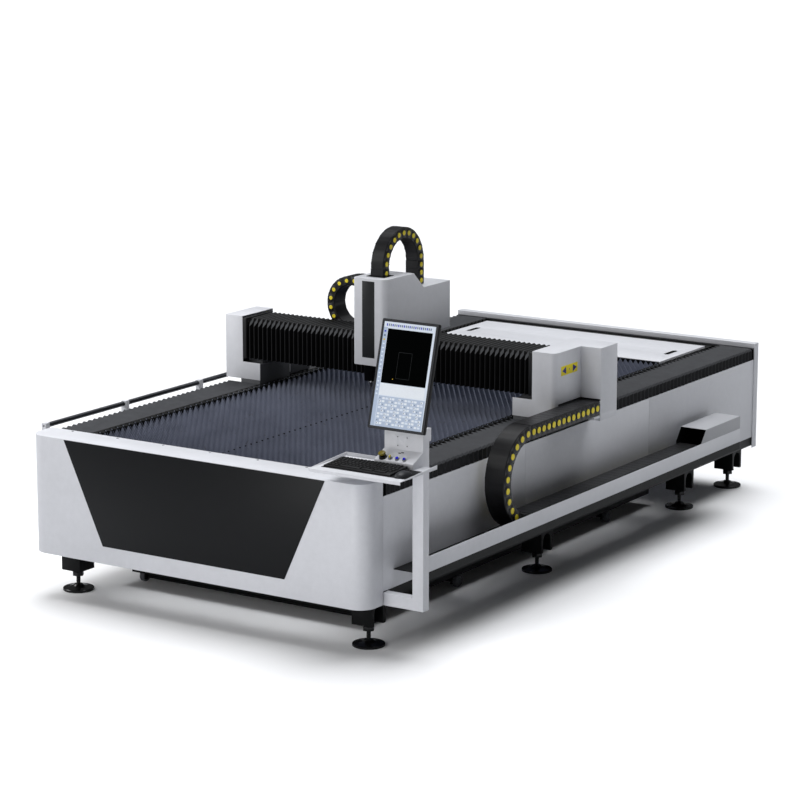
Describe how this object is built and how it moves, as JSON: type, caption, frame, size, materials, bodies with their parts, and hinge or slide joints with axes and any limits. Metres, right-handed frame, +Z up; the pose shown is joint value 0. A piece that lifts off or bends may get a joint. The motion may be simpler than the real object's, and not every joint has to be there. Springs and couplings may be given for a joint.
{
  "type": "fiber laser cutting machine",
  "caption": "Open flatbed laser cutter: slatted bed on levelling feet, gantry with carriage and cutting head, energy chains, operator console and slag trolley.",
  "frame": {"origin": "middle of the machine's box on the floor", "axes": "+Z up, +Y along the bed to the rear, +X to the operator console's side"},
  "size_m": [2.329, 4.179, 1.71],
  "materials": {
    "frame_paint": "satin powder coat",
    "cover_paint": "light grey powder coat",
    "black_panel": "black powder coat",
    "bellows_cloth": "coated cloth",
    "chain_plastic": "moulded",
    "slat_steel": "cut plate",
    "machined_steel": "ground",
    "foot_steel": "gloss black",
    "roller_steel": "turned bar",
    "black_plastic": "fine grain",
    "screen_glass": "glossy",
    "aluminium": "anodised",
    "nozzle_brass": "turned",
    "estop_amber": "moulded",
    "button_blue": "moulded",
    "wheel_rubber": "solid"
  },
  "bodies": {
    "bed": {"bed_frame": "frame_paint", "levelling_feet": "foot_steel", "front_cover": "cover_paint", "front_panel_inlay": "black_panel", "left_side_panel": "cover_paint", "right_side_panel": "cover_paint", "rear_cover": "cover_paint", "rails_and_racks": "machined_steel", "slat_ledges": "frame_paint", "slats": "slat_steel", "rear_cover_plate": "cover_paint", "rail_bellows_front_left": "bellows_cloth", "rail_bellows_front_right": "bellows_cloth", "rail_bellows_rear_left": "bellows_cloth", "rail_bellows_rear_right": "bellows_cloth", "chain_trough": "cover_paint", "trough_rear_box": "cover_paint", "gantry_chain_lower_run": "chain_plastic", "roller_brackets": "cover_paint", "operator_post": "cover_paint", "console_tray": "cover_paint", "keyboard": "black_plastic", "mouse": "black_plastic", "control_panel": "cover_paint", "switch_collars": "black_plastic"},
    "monitor": {"monitor_housing": "black_plastic", "monitor_screen": "screen_glass"},
    "estop": {"estop_button": "estop_amber"},
    "key": {"key_switch": "machined_steel"},
    "push_left": {"push_button_left": "button_blue"},
    "push_right": {"push_button_right": "button_blue"},
    "gantry": {"gantry_beam": "aluminium", "gantry_saddles": "frame_paint", "left_end_cover": "cover_paint", "right_end_cover": "cover_paint", "gantry_motors": "black_plastic", "beam_bellows_left": "bellows_cloth", "beam_bellows_right": "bellows_cloth", "carriage_chain_lower_run": "chain_plastic", "gantry_chain_upper_run": "chain_plastic"},
    "gantry_bend_upper": {"gantry_chain_bend_upper": "chain_plastic"},
    "gantry_bend_lower": {"gantry_chain_bend_lower": "chain_plastic"},
    "carriage": {"carriage_plate": "aluminium", "head_cover": "cover_paint", "carriage_chain_upper_run": "chain_plastic", "lift_chain": "chain_plastic"},
    "carriage_bend_upper": {"carriage_chain_bend_upper": "chain_plastic"},
    "carriage_bend_lower": {"carriage_chain_bend_lower": "chain_plastic"},
    "head": {"cutting_head": "aluminium", "nozzle": "nozzle_brass"},
    "trolley": {"slag_tray": "frame_paint"},
    "roller_1": {"loading_roller_1": "roller_steel"},
    "roller_2": {"loading_roller_2": "roller_steel"},
    "roller_3": {"loading_roller_3": "roller_steel"},
    "roller_4": {"loading_roller_4": "roller_steel"},
    "roller_5": {"loading_roller_5": "roller_steel"},
    "wheels_1": {"wheelset_1": "wheel_rubber"},
    "wheels_2": {"wheelset_2": "wheel_rubber"},
    "wheels_3": {"wheelset_3": "wheel_rubber"},
    "wheels_4": {"wheelset_4": "wheel_rubber"}
  },
  "joints": [
    {"name": "gantry_travel", "type": "slide", "parent": "bed", "child": "gantry", "axis": [0, 1, 0], "range_m": [-1.225, 1.775], "deforming": ["rail_bellows_front_left", "rail_bellows_front_right", "rail_bellows_rear_left", "rail_bellows_rear_right", "gantry_chain_upper_run", "gantry_chain_lower_run"]},
    {"name": "gantry_bend_upper_roll", "type": "slide", "parent": "gantry", "child": "gantry_bend_upper", "axis": [0, 1, 0], "range_m": [-0.8875, 0.6125]},
    {"name": "gantry_bend_lower_roll", "type": "slide", "parent": "bed", "child": "gantry_bend_lower", "axis": [0, 1, 0], "range_m": [-0.6125, 0.8875]},
    {"name": "carriage_travel", "type": "slide", "parent": "gantry", "child": "carriage", "axis": [1, 0, 0], "range_m": [-0.7, 0.65], "deforming": ["beam_bellows_left", "beam_bellows_right", "carriage_chain_upper_run", "carriage_chain_lower_run"]},
    {"name": "carriage_bend_upper_roll", "type": "slide", "parent": "carriage", "child": "carriage_bend_upper", "axis": [1, 0, 0], "range_m": [-0.325, 0.35]},
    {"name": "carriage_bend_lower_roll", "type": "slide", "parent": "gantry", "child": "carriage_bend_lower", "axis": [1, 0, 0], "range_m": [-0.35, 0.325]},
    {"name": "head_lift", "type": "slide", "parent": "carriage", "child": "head", "axis": [0, 0, 1], "range_m": [-0.085, 0.035], "deforming": ["lift_chain"]},
    {"name": "monitor_tilt", "type": "hinge", "parent": "bed", "child": "monitor", "pos_m": [0.9795, -1.71338, 1.29188], "axis": [-1, 0, 0], "range_deg": [0, 15]},
    {"name": "estop_press", "type": "slide", "parent": "bed", "child": "estop", "axis": [0, 0.4122, -0.9111], "range_m": [0, 0.005], "stiffness_N_per_m": 2500},
    {"name": "push_left_press", "type": "slide", "parent": "bed", "child": "push_left", "axis": [0, 0.4122, -0.9111], "range_m": [0, 0.003], "stiffness_N_per_m": 1500},
    {"name": "push_right_press", "type": "slide", "parent": "bed", "child": "push_right", "axis": [0, 0.4122, -0.9111], "range_m": [0, 0.003], "stiffness_N_per_m": 1500},
    {"name": "key_turn", "type": "hinge", "parent": "bed", "child": "key", "pos_m": [0.9595, -1.85384, 0.94593], "axis": [0, -0.4122, 0.9111], "range_deg": [-90, 0]},
    {"name": "trolley_pull", "type": "slide", "parent": "bed", "child": "trolley", "axis": [0, 1, 0], "range_m": [-2.8, 0]},
    {"name": "wheels_1_spin", "type": "hinge", "parent": "trolley", "child": "wheels_1", "pos_m": [-0.1105, -1.4205, 0.03], "axis": [1, 0, 0], "continuous": true},
    {"name": "wheels_2_spin", "type": "hinge", "parent": "trolley", "child": "wheels_2", "pos_m": [-0.1105, -0.6525, 0.03], "axis": [1, 0, 0], "continuous": true},
    {"name": "wheels_3_spin", "type": "hinge", "parent": "trolley", "child": "wheels_3", "pos_m": [-0.1105, 0.1155, 0.03], "axis": [1, 0, 0], "continuous": true},
    {"name": "wheels_4_spin", "type": "hinge", "parent": "trolley", "child": "wheels_4", "pos_m": [-0.1105, 0.8835, 0.03], "axis": [1, 0, 0], "continuous": true},
    {"name": "roller_1_spin", "type": "hinge", "parent": "bed", "child": "roller_1", "pos_m": [-1.1505, -1.4215, 0.815], "axis": [0, 1, 0], "continuous": true},
    {"name": "roller_2_spin", "type": "hinge", "parent": "bed", "child": "roller_2", "pos_m": [-1.1505, -0.7915, 0.815], "axis": [0, 1, 0], "continuous": true},
    {"name": "roller_3_spin", "type": "hinge", "parent": "bed", "child": "roller_3", "pos_m": [-1.1505, -0.1615, 0.815], "axis": [0, 1, 0], "continuous": true},
    {"name": "roller_4_spin", "type": "hinge", "parent": "bed", "child": "roller_4", "pos_m": [-1.1505, 0.4685, 0.815], "axis": [0, 1, 0], "continuous": true},
    {"name": "roller_5_spin", "type": "hinge", "parent": "bed", "child": "roller_5", "pos_m": [-1.1505, 1.0985, 0.815], "axis": [0, 1, 0], "continuous": true}
  ],
  "couplings": [
    {"joint": "gantry_bend_upper_roll", "follows": "gantry_travel", "ratio": -0.5},
    {"joint": "gantry_bend_lower_roll", "follows": "gantry_travel", "ratio": 0.5},
    {"joint": "carriage_bend_upper_roll", "follows": "carriage_travel", "ratio": -0.5},
    {"joint": "carriage_bend_lower_roll", "follows": "carriage_travel", "ratio": 0.5}
  ]
}
